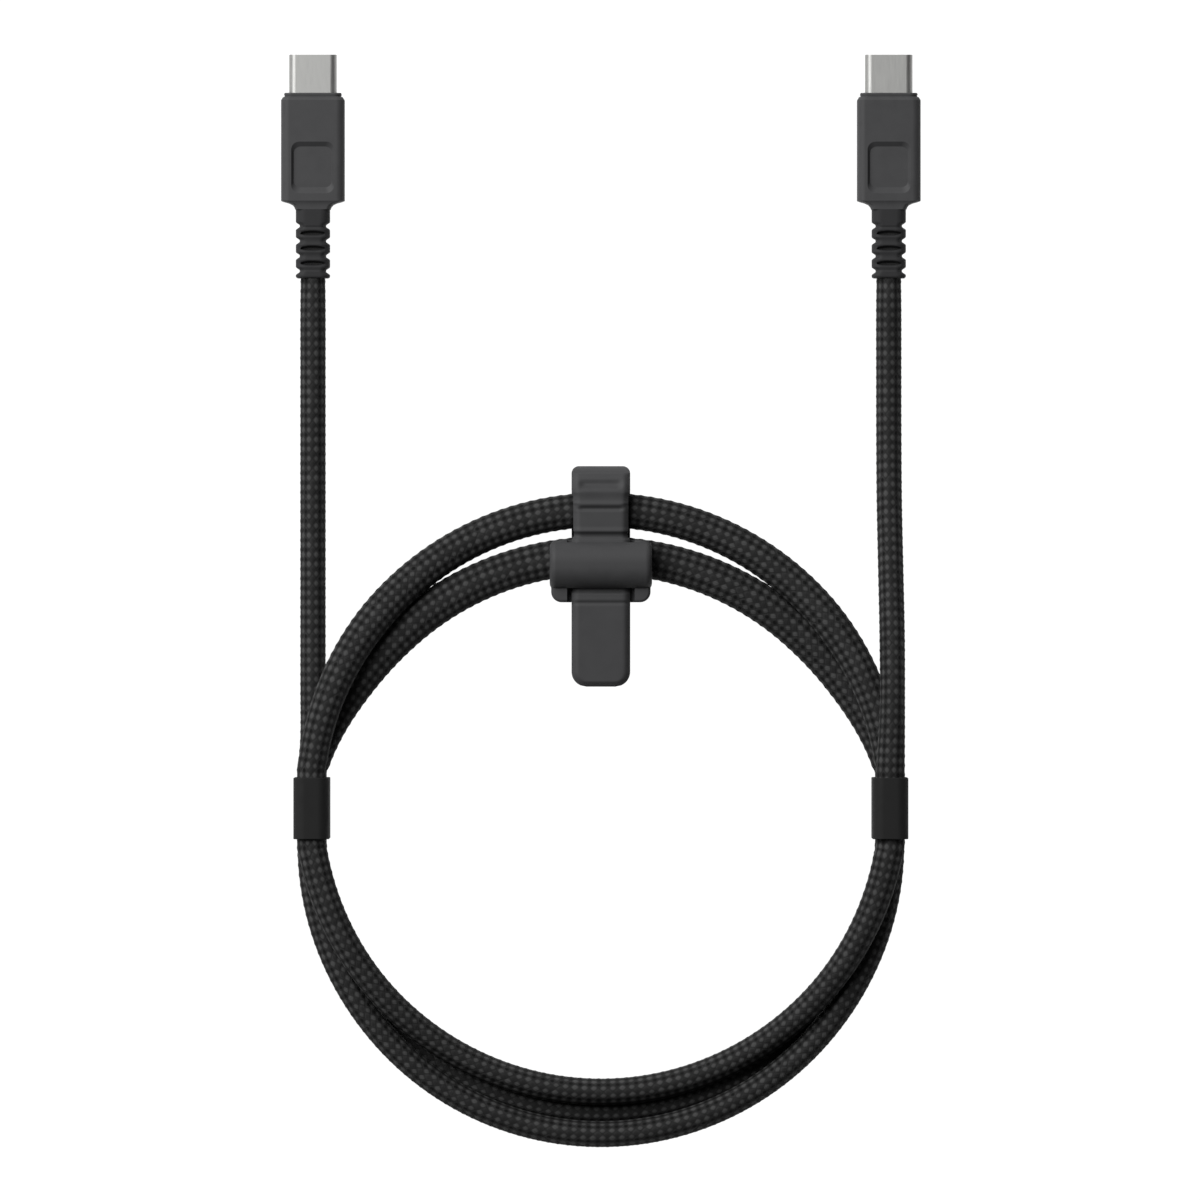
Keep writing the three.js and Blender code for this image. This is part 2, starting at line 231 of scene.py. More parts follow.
# %% Moulded finish
def moulded(name, dark, light, roughness, grit, grit_depth, mottle, specular=0.14):
    """A matt moulded material. grit and mottle are the sizes of its grains and patches, in mm."""
    material, shader = start_material(name, light, roughness, specular=specular)
    coordinates = add_node(material, "ShaderNodeTexCoord", {}).outputs["Object"]
    patches = add_node(material, "ShaderNodeTexNoise",
                       {"Vector": coordinates, "Scale": 1 / (mottle * MM), "Detail": 3.0})
    colour = add_node(material, "ShaderNodeMix",
                      {0: patches.outputs["Fac"], 6: linear(dark), 7: linear(light)},
                      data_type="RGBA")
    shine = add_node(material, "ShaderNodeMapRange",
                     {"Value": patches.outputs["Fac"], "From Min": 0.3, "From Max": 0.7,
                      "To Min": roughness - 0.07, "To Max": roughness + 0.07})
    grains = add_node(material, "ShaderNodeTexNoise",
                      {"Vector": coordinates, "Scale": 1 / (grit * MM), "Detail": 2.0})
    relief = add_node(material, "ShaderNodeBump",
                      {"Height": grains.outputs["Fac"], "Strength": 0.6,
                       "Distance": grit_depth * MM})
    link(material, colour.outputs[2], shader, "Base Color")
    link(material, shine.outputs["Result"], shader, "Roughness")
    link(material, relief.outputs["Normal"], shader, "Normal")
    return material


cover_abs = moulded("spark_textured_pc_abs", "#39393a", "#414142", 0.55, 0.11, 0.02, 2.5)
relief_tpe = moulded("matt_tpe_relief", "#252526", "#2d2d2e", 0.65, 0.14, 0.015, 2.0)
strap_silicone = moulded("matt_silicone", "#363637", "#3e3e3f", 0.6, 0.16, 0.012, 3.0)
band_rubber = moulded("matt_rubber_sleeve", "#131313", "#1b1b1b", 0.75, 0.18, 0.02, 2.0, 0.2)
print("moulded finishes:", cover_abs.name, relief_tpe.name, strap_silicone.name)

# %% [markdown]
# ## Metals
# The plug's shell is drawn stainless steel, bead-blasted and brushed along its length. A metal's
# colour is its reflection, so the scratches live in the roughness and the bump: a noise
# that is stretched 30 times along Y.


# %% Brushed and plated metals
def brushed_metal(name, colour, roughness, scratch):
    """A metal with fine scratches along Y. scratch is their spacing, in mm."""
    material, shader = start_material(name, colour, roughness, metallic=1.0)
    coordinates = add_node(material, "ShaderNodeTexCoord", {}).outputs["Object"]
    stretched = add_node(material, "ShaderNodeMapping",
                         {"Vector": coordinates, "Scale": (1.0, 1 / 30, 1.0)})
    scratches = add_node(material, "ShaderNodeTexNoise",
                         {"Vector": stretched.outputs["Vector"], "Scale": 1 / (scratch * MM),
                          "Detail": 4.0})
    shine = add_node(material, "ShaderNodeMapRange",
                     {"Value": scratches.outputs["Fac"], "From Min": 0.3, "From Max": 0.7,
                      "To Min": roughness - 0.06, "To Max": roughness + 0.08})
    relief = add_node(material, "ShaderNodeBump",
                      {"Height": scratches.outputs["Fac"], "Strength": 0.2,
                       "Distance": 0.001 * MM})
    link(material, shine.outputs["Result"], shader, "Roughness")
    link(material, relief.outputs["Normal"], shader, "Normal")
    return material


shell_steel = brushed_metal("brushed_stainless_steel", "#a9a9a7", 0.5, 0.12)
latch_steel = brushed_metal("spring_steel", "#a8a8a6", 0.3, 0.1)
tinned_can = brushed_metal("tin_plated_steel", "#c4c6c7", 0.4, 0.2)
contact_gold = brushed_metal("gold_plated_copper", "#e0b95a", 0.25, 0.08)

# %% [markdown]
# ## Inside the plugs
# The tongue's housing is glass-filled nylon, the board is green glass-epoxy, the chip is black
# epoxy and the wires have coloured insulation. The same moulded recipe serves for them all,
# because each is a moulded or extruded plastic with its own grain.

# %% Inner finishes
INNER = {
    "plug_insulator": moulded("glass_filled_nylon", "#101011", "#19191a", 0.5, 0.08, 0.01, 1.0),
    "paddle_card": moulded("green_glass_epoxy", "#17472c", "#1f5a3a", 0.35, 0.2, 0.008, 1.5, 0.5),
    "marker_chip": moulded("black_chip_epoxy", "#161617", "#202022", 0.45, 0.05, 0.01, 0.6),
    "vbus_wire": moulded("red_insulation", "#8f1b1b", "#a62424", 0.45, 0.3, 0.01, 2.0, 0.5),
    "ground_wire": moulded("black_insulation", "#1a1a1a", "#242424", 0.45, 0.3, 0.01, 2.0, 0.5),
    "cc_wire": moulded("blue_insulation", "#244d93", "#2e60b5", 0.45, 0.3, 0.01, 2.0, 0.5),
    "data_plus_wire": moulded("green_insulation", "#277a3c", "#33954c", 0.45, 0.3, 0.01, 2.0, 0.5),
    "data_minus_wire": moulded("white_insulation", "#cbcbc6", "#dcdcd8", 0.45, 0.3, 0.01, 2.0,
                               0.5),
    "contact_row_top": contact_gold,
    "contact_row_bottom": contact_gold,
    "latch_plate": latch_steel,
    "shield_can": tinned_can,
}
core_pvc = moulded("soft_pvc_jacket", "#6c6c6c", "#7b7b7b", 0.5, 0.2, 0.01, 2.0)


def refinish(node, material):
    """Gives a node of the engineering model its material."""
    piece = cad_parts[node]
    piece.data.materials.clear()
    piece.data.materials.append(material)


for node_kind, material in INNER.items():
    for side in ("left", "right"):
        refinish(f"{side}_{node_kind}", material)
refinish("cable_core", core_pvc)
print("inner pieces finished:", 2 * len(INNER) + 1)

# %% [markdown]
# ## Nylon braid
# The sleeve is a plain-weave tube of 24 yarns, 12 each way, so 12 crossings go round it. Along
# the cable a crossing comes every 1.66 mm. On the piece's own map, U counts crossings along the
# cable and V counts them round it. The sum and the difference of U and V then run
# along the two families of yarns: each unit square is one yarn lying over the other, and the
# squares take turns like a chessboard. Each yarn is a flat bundle of four strands of charcoal
# filament, so four fine ridges run along the yarn that is on top.

# %% Braid material
BRAID_STEP = 1.66             # crossings along the cable, in mm
BRAID_ROUND = 12              # crossings round the cable
STRANDS = 4                   # strands in one yarn

braid, shader = start_material("charcoal_nylon_braid", "#2c2c2c", 0.8, specular=0.12)
braid_map = add_node(braid, "ShaderNodeUVMap", {}, uv_map="yarns")
parts = add_node(braid, "ShaderNodeSeparateXYZ", {"Vector": braid_map.outputs["UV"]})


def maths(operation, *values):
    """One step of arithmetic in the braid's graph."""
    return add_node(braid, "ShaderNodeMath", dict(enumerate(values)),
                    operation=operation).outputs[0]


along, around = parts.outputs["X"], parts.outputs["Y"]
warp_way = maths("ADD", along, around)
weft_way = maths("SUBTRACT", along, around)
warp_cell = maths("ROUND", warp_way)
weft_cell = maths("ROUND", weft_way)
from_warp = maths("SUBTRACT", warp_way, warp_cell)
from_weft = maths("SUBTRACT", weft_way, weft_cell)
chessboard = maths("PINGPONG", maths("ADD", warp_cell, weft_cell), 1.0)
warp_on_top = maths("GREATER_THAN", chessboard, 0.5)

# Across the top yarn: its distance from the yarn's middle, from -0.5 to 0.5, and along it.
across = add_node(braid, "ShaderNodeMix", {0: warp_on_top, 2: from_warp, 3: from_weft}).outputs[0]
lengthwise = add_node(braid, "ShaderNodeMix",
                      {0: warp_on_top, 2: from_weft, 3: from_warp}).outputs[0]
strand_wave = maths("COSINE", maths("MULTIPLY", across, 2 * math.pi * STRANDS))
crown = maths("SUBTRACT", 1.0, maths("MULTIPLY", maths("MULTIPLY", across, across), 3.2))
dive = maths("SUBTRACT", 1.0, maths("MULTIPLY", maths("MULTIPLY", lengthwise, lengthwise), 2.4))
yarn_height = maths("MULTIPLY", crown, dive)
# Each crossing has its own shade, because no two stretches of yarn take the dye alike.
cell = add_node(braid, "ShaderNodeCombineXYZ", {"X": warp_cell, "Y": weft_cell})
dye = add_node(braid, "ShaderNodeTexWhiteNoise", {"Vector": cell.outputs["Vector"]},
               noise_dimensions="2D").outputs["Value"]
dye_strength = maths("ADD", 0.78, maths("MULTIPLY", dye, 0.3))
# The yarn's height, scaled by each crossing's dye, serves as painted light; the painted shade
# between the yarns is drawn from it.
painted_light_and_dye = maths("MULTIPLY", yarn_height, dye_strength)


def spread(value, start, end):
    """1 up to start, 0 from end on, and a smooth step between. Start may be above end."""
    return add_node(braid, "ShaderNodeMapRange",
                    {"Value": value, "From Min": start, "From Max": end, "To Min": 1.0,
                     "To Max": 0.0}, interpolation_type="SMOOTHSTEP").outputs["Result"]


def blended(share, low, high):
    """A mix of two colours, each a hex value or the output of a node."""
    low, high = [linear(tone) if isinstance(tone, str) else tone for tone in (low, high)]
    return add_node(braid, "ShaderNodeMix", {0: share, 6: low, 7: high},
                    data_type="RGBA").outputs[2]


# Seen from a little way off, the dark crossings are small spots on a lighter ground. Along the
# crown of the tube,
# which is its top, the spots are weakened: a painted highlight where the light falls on the top of
# the tube.
from_crown = maths("ABSOLUTE", maths("SUBTRACT", around, BRAID_ROUND / 2))
waves = [maths("COSINE", maths("MULTIPLY", way, 2 * math.pi)) for way in (along, around)]
weave = maths("MULTIPLY", maths("ADD", *waves), -0.5)
# painted_crown_light: the painted highlight along the top of the tube, which weakens the dark spots
# there.
painted_crown_light = maths("MULTIPLY", spread(from_crown, 0.25, 0.7), 0.6)
spot = maths("MULTIPLY", spread(weave, -0.9, -0.05), maths("SUBTRACT", 1.0, painted_crown_light))
# Where the yarns dive and meet, the colour is drawn towards near-black: painted shade in the
# crevices between the yarns, varied by each crossing's dye.
painted_crevice_shade = maths("MULTIPLY", spread(painted_light_and_dye, 0.2, 0.7), 0.45)
speckle = maths("ADD", spread(weave, 0.95, -0.1),
                maths("MULTIPLY", maths("SUBTRACT", dye, 0.5), 0.5))

ground = blended(speckle, "#262626", "#3e3e3e")
spotted = blended(spot, ground, "#0b0b0b")
# The last mix lays the painted crevice shade, #101010, over the spotted weave.
link(braid, blended(painted_crevice_shade, spotted, "#101010"), shader, "Base Color")

height = maths("ADD", yarn_height, maths("MULTIPLY", strand_wave, 0.12))
relief = add_node(braid, "ShaderNodeBump",
                  {"Height": height, "Strength": 0.7, "Distance": 0.14 * MM})
link(braid, relief.outputs["Normal"], shader, "Normal")

# %% [markdown]
# ## The cable's route
# The route repeats the engineering model's. Two straight leads run down from the plugs, and two
# and a half turns are wound between them as one helix. Through each side sleeve the strands run
# straight, one above the other. Each half turn is an arc of a circle whose centre is moved up or
# down, which parts the passes from each other.
#
# The jacket inside is oval, and rolls as it is wound: it stands on edge in the leads and round
# the bottom, and lies flat over the top, where the strap presses it. So each point also has the
# half width and the half height of the section there.

# %% Route of the cable
SIDE_X = 50.0
STRAIGHT_TOP, STRAIGHT_LOW = 8.4, -3.4
LEVEL_STEP = 5                # from one strand to the next above it, in mm
LEVELS = [AXIS_Z + LEVEL_STEP * i for i in range(3)]
TOP_STRAND_Z = 4.0
LOW_PAIR_Z = 6.95
RELIEF_END_Y = 94.15          # back of a strain relief
HIDDEN_END = 1.2              # length of braid inside each strain relief
ON_EDGE = (2.18, 2.98)
IN_SLEEVE = (2.5, 2.42)
IN_RELIEF = (2.12, 2.5)
TURN_POINTS = 60
# Shares of the way from an end of a half turn to its middle: easing in, rising and rolling.
EASED_SHARE = 0.3
RISE_START, RISE_END = 0.12, 0.74
ROLLED_SHARE = 0.45


def smooth(x, low, high):
    t = min(max((x - low) / (high - low), 0), 1)
    return t * t * (3 - 2 * t)


def half_turn(radius, centre_y, middle_z, start_level, end_level, over, section):
    """The points of one half turn: over the top from the right, or round the bottom."""
    points = []
    sign = 1 if over else -1
    end_y = STRAIGHT_TOP if over else STRAIGHT_LOW
    start = math.asin(sign * (end_y - centre_y) / radius)
    eased_x = SIDE_X - radius * math.cos(start)
    for i in range(TURN_POINTS + 1):
        u = i / TURN_POINTS
        from_end = 1 - abs(2 * u - 1)
        turn = start + (math.pi - 2 * start) * u
        side = sign if u < 0.5 else -sign
        ease = side * eased_x * (1 - smooth(from_end, 0, EASED_SHARE))
        level = LEVELS[start_level if u < 0.5 else end_level]
        rise = (middle_z - level) * smooth(from_end, RISE_START, RISE_END)
        blend = smooth(from_end, 0, ROLLED_SHARE)
        sizes = [a + (b - a) * blend for a, b in zip(IN_SLEEVE, section)]
        points.append((sign * radius * math.cos(turn) + ease,
                       centre_y + sign * radius * math.sin(turn), level + rise, *sizes))
    return points


lead_end = (PLUG_X, RELIEF_END_Y + HIDDEN_END, AXIS_Z, *IN_RELIEF)
relief_mouth = (PLUG_X, RELIEF_END_Y - 0.5, AXIS_Z, *IN_RELIEF)
left_lead = [(-x, *rest) for x, *rest in (lead_end, relief_mouth)]
left_lead += [(-PLUG_X, y, AXIS_Z, *ON_EDGE) for y in (88, 77, 66, 52, 38, 24, 15)]
right_lead = [(x, y, z, *ON_EDGE) for x, y, z in (
    (50.35, 20, 12.9), (50.35, 32, 11.2), (50.15, 44, 8.2), (49.95, 56, 5.4),
    (PLUG_X, 68, 3.7), (PLUG_X, 78, AXIS_Z), (PLUG_X, 88, AXIS_Z))]
right_lead += [relief_mouth, lead_end]
route = [
    *left_lead, (-SIDE_X, STRAIGHT_TOP, LEVELS[0], *IN_SLEEVE),
    *half_turn(50.25, 0, AXIS_Z, 0, 0, False, (2.25, 2.95)),
    *half_turn(51.0, -4.8, TOP_STRAND_Z, 0, 1, True, (3.3, 2.15)),
    *half_turn(50.0, -3.95, LOW_PAIR_Z, 1, 1, False, (2.25, 2.95)),
    *half_turn(50.2, 3.9, TOP_STRAND_Z, 1, 2, True, (3.0, 2.3)),
    *half_turn(50.5, 3.85, LOW_PAIR_Z, 2, 2, False, (2.3, 2.9)),
    (SIDE_X, STRAIGHT_TOP, LEVELS[2], *IN_SLEEVE), *right_lead,
]


def through(points, steps):
    """A smooth curve through the points, in short straight steps."""
    ends = [points[0], *points, points[-1]]
    curve = []
    for a, b, c, d in zip(ends, ends[1:], ends[2:], ends[3:]):
        for i in range(steps):
            t = i / steps
            curve.append(tuple(
                q + 0.5 * t * (r - p + t * (2 * p - 5 * q + 4 * r - s + t * (3 * (q - r) + s - p)))
                for p, q, r, s in zip(a, b, c, d)))
    return [*curve, points[-1]]


fine_route = through(route, 12)
travelled = [0.0]
for a, b in zip(fine_route, fine_route[1:]):
    travelled.append(travelled[-1] + math.dist(a[:3], b[:3]))

# %% [markdown]
# ## The braided tube
# A tube with square faces would draw rings and stripes. A braid's lines are diagonal, so this
# mesh is too: each ring has 24 points, every second ring is turned by half a step, and the
# faces are diamonds whose edges follow the yarns. Four rings make one crossing, so the points
# fall on the tops of the yarns, in the pits between them and halfway up. The points on top
# are pushed out and those in the pits are pushed in.

# %% Braided tube
POINTS_ROUND = 2 * BRAID_ROUND
YARN_RELIEF = 0.06            # how far a crossing stands out of the middle surface, in mm
rings = 4 * round(travelled[-1] / BRAID_STEP)

stations = []
at = 0
for i in range(rings + 1):
    distance = travelled[-1] * i / rings
    while at < len(travelled) - 2 and travelled[at + 1] < distance:
        at += 1
    t = (distance - travelled[at]) / (travelled[at + 1] - travelled[at])
    stations.append([p + (q - p) * t for p, q in zip(fine_route[at], fine_route[at + 1])])


def even_angles(half_width, half_height):
    """Angles that are evenly spaced round the rim of an oval, from its lowest point."""
    samples = 96
    rim = [0.0]
    for i in range(samples):
        angle = 2 * math.pi * (i + 0.5) / samples
        rim.append(rim[-1] + math.hypot(half_width * math.cos(angle),
                                        half_height * math.sin(angle)))
    angles = []
    i = 0
    for k in range(2 * POINTS_ROUND):
        wanted = rim[-1] * k / (2 * POINTS_ROUND)
        while rim[i + 1] < wanted:
            i += 1
        part = (wanted - rim[i]) / (rim[i + 1] - rim[i])
        angles.append(2 * math.pi * (i + part) / samples)
    return angles


vertices = []
for i, (x, y, z, half_width, half_height) in enumerate(stations):
    before, after = stations[max(i - 1, 0)], stations[min(i + 1, rings)]
    forward = Vector([q - p for p, q in zip(before[:3], after[:3])]).normalized()
    sideways = forward.cross(Vector((0, 0, 1))).normalized()
    upward = sideways.cross(forward)
    angles = even_angles(half_width, half_height)
    for k in range(POINTS_ROUND):
        step = 2 * k + i % 2
        angle = angles[step]
        push = YARN_RELIEF * math.cos(math.pi * i / 2) * math.cos(math.pi * step / 2)
        out = sideways * (half_width + push) * math.sin(angle)
        out -= upward * (half_height + push) * math.cos(angle)
        vertices.append(place(x + out.x, y + out.y, z + out.z))

faces = []
yarn_uvs = []


def add_face(corners):
    """A face from (ring, step round) corners, with the yarns' map."""
    faces.append([ring * POINTS_ROUND + (step % (2 * POINTS_ROUND)) // 2
                  for ring, step in corners])
    yarn_uvs.extend((ring / 4, step / 4) for ring, step in corners)


for i in range(rings - 1):
    for k in range(POINTS_ROUND):
        step = 2 * k + i % 2
        add_face([(i, step), (i + 1, step - 1), (i + 2, step), (i + 1, step + 1)])
for k in range(POINTS_ROUND):
    add_face([(0, 2 * k), (1, 2 * k + 1), (0, 2 * k + 2)])
    last = 2 * k + rings % 2
    add_face([(rings, last), (rings, last + 2), (rings - 1, last + 1)])
add_face([(0, 2 * k) for k in range(POINTS_ROUND)])
add_face([(rings, 2 * k) for k in reversed(range(POINTS_ROUND))])

mesh = bpy.data.meshes.new("braided_cable")
mesh.from_pydata(vertices, [], faces)
yarn_layer = mesh.uv_layers.new(name="yarns")
yarn_layer.data.foreach_set("uv", [number for pair in yarn_uvs for number in pair])
mesh.shade_smooth()
mesh.materials.append(braid)
cable = bpy.data.objects.new("braided_cable", mesh)
bpy.context.collection.objects.link(cable)
print("braided tube:", len(faces), "faces on", rings, "rings")

# %% [markdown]
# ## Helpers for modelling
# Each piece starts as a primitive at its size and place and is shaped in edit mode. The next
# functions deselect what came before, start a block, pick faces or edges by a test, cut one
# piece with another, and apply a modifier. A plug's pieces are drawn about the middle of the
# front face of its cover, with Y towards the tip.


# %% Modelling helpers
COVER_FACE_Y = 126.35


def at_plug(x, y, z):
    """A point of the left plug's own drawing."""
    return place(x - PLUG_X, y + COVER_FACE_Y, z + AXIS_Z)


def finish_primitive(name, size=None):
    """Names the new primitive, gives it its size and puts its place into its mesh."""
    piece = bpy.context.object
    piece.name = name
    piece.data.name = name
    if size:
        piece.scale = [length * MM for length in size]
    bpy.ops.object.transform_apply(location=True, rotation=True, scale=True)
    return piece


def block(name, x, y, z, spot=at_plug):
    """A box between the low and high values of x, y and z, in mm."""
    bpy.ops.object.select_all(action="DESELECT")
    middle = spot(*[(low + high) / 2 for low, high in (x, y, z)])
    bpy.ops.mesh.primitive_cube_add(size=1, location=middle)
    return finish_primitive(name, [high - low for low, high in (x, y, z)])


@contextmanager
def editing(piece):
    """Edit mode on one piece, for the length of a with block."""
    bpy.ops.object.select_all(action="DESELECT")
    bpy.context.view_layer.objects.active = piece
    piece.select_set(True)
    bpy.ops.object.mode_set(mode="EDIT")
    yield
    bpy.ops.object.mode_set(mode="OBJECT")


def pick(piece, kind, test):
    """Selects just the vertices, edges or faces that pass the test."""
    bpy.ops.mesh.select_mode(type=kind)
    bpy.ops.mesh.select_all(action="DESELECT")
    shape = bmesh.from_edit_mesh(piece.data)
    parts = {"VERT": shape.verts, "EDGE": shape.edges, "FACE": shape.faces}[kind]
    chosen = [part for part in parts if test(part)]
    for part in chosen:
        part.select_set(True)
    shape.select_flush_mode()
    bmesh.update_edit_mesh(piece.data)


def runs_along(axis):
    """A test for edges that are parallel to an axis."""
    def test(edge):
        way = (edge.verts[1].co - edge.verts[0].co).normalized()
        return abs(way[axis]) > 0.99
    return test


def faces_to(axis, sign):
    """A test for faces that look along an axis."""
    return lambda face: face.normal[axis] * sign > 0.99


def rim_of(axis, sign):
    """A test for the edges round the faces that look along an axis."""
    is_end = faces_to(axis, sign)
    return lambda edge: sum(is_end(face) for face in edge.link_faces) == 1


def bevel(offset, segments):
    bpy.ops.mesh.bevel(offset=offset * MM, segments=segments, affect="EDGES",
                       offset_type="OFFSET", clamp_overlap=True)


def apply_modifier(piece, kind, **settings):
    bpy.ops.object.select_all(action="DESELECT")
    bpy.context.view_layer.objects.active = piece
    piece.select_set(True)
    modifier = piece.modifiers.new(kind, kind)
    for name, value in settings.items():
        setattr(modifier, name, value)
    bpy.ops.object.modifier_apply(modifier=modifier.name)


def combine(piece, tool, operation="DIFFERENCE"):
    """Cuts the tool out of the piece, or joins it on, and removes the tool."""
    apply_modifier(piece, "BOOLEAN", object=tool, operation=operation, solver="EXACT")
    bpy.data.objects.remove(tool)


def soften(piece, width, segments=2, angle=30):
    """Rounds every sharp edge a little, as a mould does."""
    apply_modifier(piece, "BEVEL", width=width * MM, segments=segments,
                   limit_method="ANGLE", angle_limit=math.radians(angle))


def shade(piece, material, angle=35):
    bpy.ops.object.select_all(action="DESELECT")
    bpy.context.view_layer.objects.active = piece
    piece.select_set(True)
    bpy.ops.object.shade_smooth_by_angle(angle=math.radians(angle))
    apply_modifier(piece, "WEIGHTED_NORMAL", keep_sharp=True)
    piece.data.materials.clear()
    piece.data.materials.append(material)
    print(f"{piece.name}: {len(piece.data.polygons)} faces")


def copy_to_right(piece, name, distance):
    """A copy on the right side, with its own mesh."""
    twin = piece.copy()
    twin.data = piece.data.copy()
    twin.name = name
    twin.data.name = name
    for vertex in twin.data.vertices:
        vertex.co.x += distance * MM
    bpy.context.collection.objects.link(twin)
    return twin


# %% [markdown]
# ## Plug shells
# The shell is a seamless drawn steel tube, 8.25 by 2.4 mm with fully round sides and a wall of
# 0.3 mm, and its front edge is rolled so that it finds the socket. It is a block whose long
# edges are rounded until they meet, opened at both ends, given its wall inwards, and bevelled
# at the mouth.

# %% Plug shells
SHELL_SIZE = (8.25, 2.4)
SHELL_WALL = 0.3
shell = block("left_steel_shell", (-SHELL_SIZE[0] / 2, SHELL_SIZE[0] / 2), (-4.7, 6.65),
              (-SHELL_SIZE[1] / 2, SHELL_SIZE[1] / 2))
with editing(shell):
    pick(shell, "EDGE", runs_along(1))
    bevel(SHELL_SIZE[1] / 2 - 0.01, 10)
    pick(shell, "FACE", lambda face: abs(face.normal.y) > 0.9)
    bpy.ops.mesh.delete(type="ONLY_FACE")
apply_modifier(shell, "SOLIDIFY", thickness=SHELL_WALL * MM, offset=-1.0)
with editing(shell):
    pick(shell, "EDGE", rim_of(1, 1))
    bevel(0.1, 3)
shade(shell, shell_steel, 50)
right_shell = copy_to_right(shell, "right_steel_shell", 2 * PLUG_X)

# %% [markdown]
# ## Plug covers
# The cover is a two-part plastic housing, 11 mm wide and 20.2 mm long. Its front is a short
# narrower collar, the back runs down in a hollow curve to the strain relief, and the top has a
# shallow dish for the thumb with sloping walls. The body is a block, the collar and the back
# are extruded from its ends, the dish is cut with a tapered tool, and the room for the works is
# cut out last, when the outside edges have been softened.

# %% Plug covers
COVER = (11.0, 6.2)
cover = block("left_moulded_cover", (-COVER[0] / 2, COVER[0] / 2), (-18.7, -1.25),
              (-COVER[1] / 2, COVER[1] / 2))

# (length, width and height at its end), in mm
COVER_FRONT = ((0.5, 10.4, 5.6), (0.12, 9.8, 5.0), (0.2, 9.8, 5.0), (0.1, 10.0, 5.2),
               (0.33, 9.8, 5.0))
COVER_BACK = ((0.2, 9.9, 6.0), (0.2, 8.4, 5.85), (0.3, 7.1, 5.7), (0.4, 6.4, 5.65),
              (0.4, 6.1, 5.6))


def resize(x, y, z):
    bpy.ops.transform.resize(value=(x, y, z))


def extrude_end(piece, sign, steps, size):
    """Pulls an end face out along Y step by step, and gives it a new size at each step."""
    pick(piece, "FACE", faces_to(1, sign))
    for length, width, height in steps:
        way = {"value": (0, sign * length * MM, 0)}
        bpy.ops.mesh.extrude_region_move(TRANSFORM_OT_translate=way)
        resize(width / size[0], 1, height / size[1])
        size = (width, height)


with editing(cover):
    pick(cover, "EDGE", runs_along(1))
    bevel(1.45, 7)
    extrude_end(cover, 1, COVER_FRONT, COVER)
    extrude_end(cover, -1, COVER_BACK, COVER)

TOP = COVER[1] / 2
dish = block("dish_tool", (-3.75, 3.75), (-17.5, -8.4), (TOP - 0.55, TOP + 0.05))
with editing(dish):
    pick(dish, "EDGE", runs_along(2))
    bevel(1.4, 6)
    pick(dish, "FACE", faces_to(2, -1))
    resize(0.88, 0.78, 1)
    bpy.ops.transform.translate(value=(0, 0.1 * MM, 0))
combine(cover, dish)
soften(cover, 0.22, 3, 22)
combine(cover, block("works_tool", (-4.7, 4.7), (-18.0, -5.0), (-2.3, 2.3)))
slot = block("slot_tool", (-4.2, 4.2), (-5.5, 1.0), (-1.28, 1.28))
with editing(slot):
    pick(slot, "EDGE", runs_along(1))
    bevel(1.27, 8)
combine(cover, slot)
combine(cover, block("wire_tool", (-2.1, 2.1), (-21.0, -17.5), (-1.7, 1.7)))
shade(cover, cover_abs, 30)
right_cover = copy_to_right(cover, "right_moulded_cover", 2 * PLUG_X)

# %% [markdown]
# ## Strain reliefs
# The strain relief is a soft boot that lets the cable bend in an even curve. Notches in its two
# sides take turns with slits through its top and bottom, so that it bends both ways.
# It is a rounded block, sliced finely by planes, and each point is then drawn in where a notch
# or a slit passes, which leaves the soft, rounded ribs that a cut would not.

# %% Strain reliefs
RELIEF = (5.9, 5.6)
NOTCH_PITCH = 2.6
NOTCHES = [-23.05 - i * NOTCH_PITCH for i in range(4)]
SLITS = [-24.35 - i * NOTCH_PITCH for i in range(3)]
NOTCH_DEPTH, NOTCH_HALF = 0.68, 0.72
SLIT_DEPTH, SLIT_HALF, SLIT_REACH = 0.9, 0.5, 2.1
RIB_HEIGHT = 0.1
FIRST_CUT, CUTS_PER_MM = -31.8, 8
boot = block("left_relief_boot", (-RELIEF[0] / 2, RELIEF[0] / 2), (-32.1, -20.2),
             (-RELIEF[1] / 2, RELIEF[1] / 2))
with editing(boot):
    pick(boot, "EDGE", runs_along(1))
    bevel(1.6, 6)
    pick(boot, "EDGE", rim_of(1, -1))
    bevel(0.35, 3)
    for i in range(1, 92):
        bpy.ops.mesh.select_all(action="SELECT")
        bpy.ops.mesh.bisect(plane_co=at_plug(0, FIRST_CUT + i / CUTS_PER_MM, 0), plane_no=(0, 1, 0))
    for i in range(-9, 10):
        bpy.ops.mesh.select_all(action="SELECT")
        bpy.ops.mesh.bisect(plane_co=at_plug(i / 4, 0, 0), plane_no=(1, 0, 0))

plug_middle = at_plug(0, 0, 0)
for vertex in boot.data.vertices:
    x, y, z = (vertex.co - plug_middle) / MM
    squeeze = 0
    for middle in NOTCHES:
        notched = 1 - smooth(abs(y - middle), 0.1, NOTCH_HALF)
        squeeze += NOTCH_DEPTH * notched * min(1, abs(x) / 2.6) ** 2
    dent = 0
    for middle in SLITS:
        half_width = SLIT_HALF * math.sqrt(max(1 - (x / SLIT_REACH) ** 2, 0))
        if half_width:
            dent += SLIT_DEPTH * (1 - smooth(abs(y - middle), 0.25 * half_width, half_width))
    rib = RIB_HEIGHT * math.cos(2 * math.pi * (y - SLITS[0]) / NOTCH_PITCH)
    dent += rib if NOTCHES[-1] < y < SLITS[0] + NOTCH_PITCH / 2 else 0
    vertex.co.x -= math.copysign(squeeze * MM, x)
    if abs(z) > 1.5:
        vertex.co.z -= math.copysign(dent * MM, z)
combine(boot, block("cable_tool", (-1.95, 1.95), (-21.0, -19.0), (-1.55, 1.55)))
shade(boot, relief_tpe, 50)
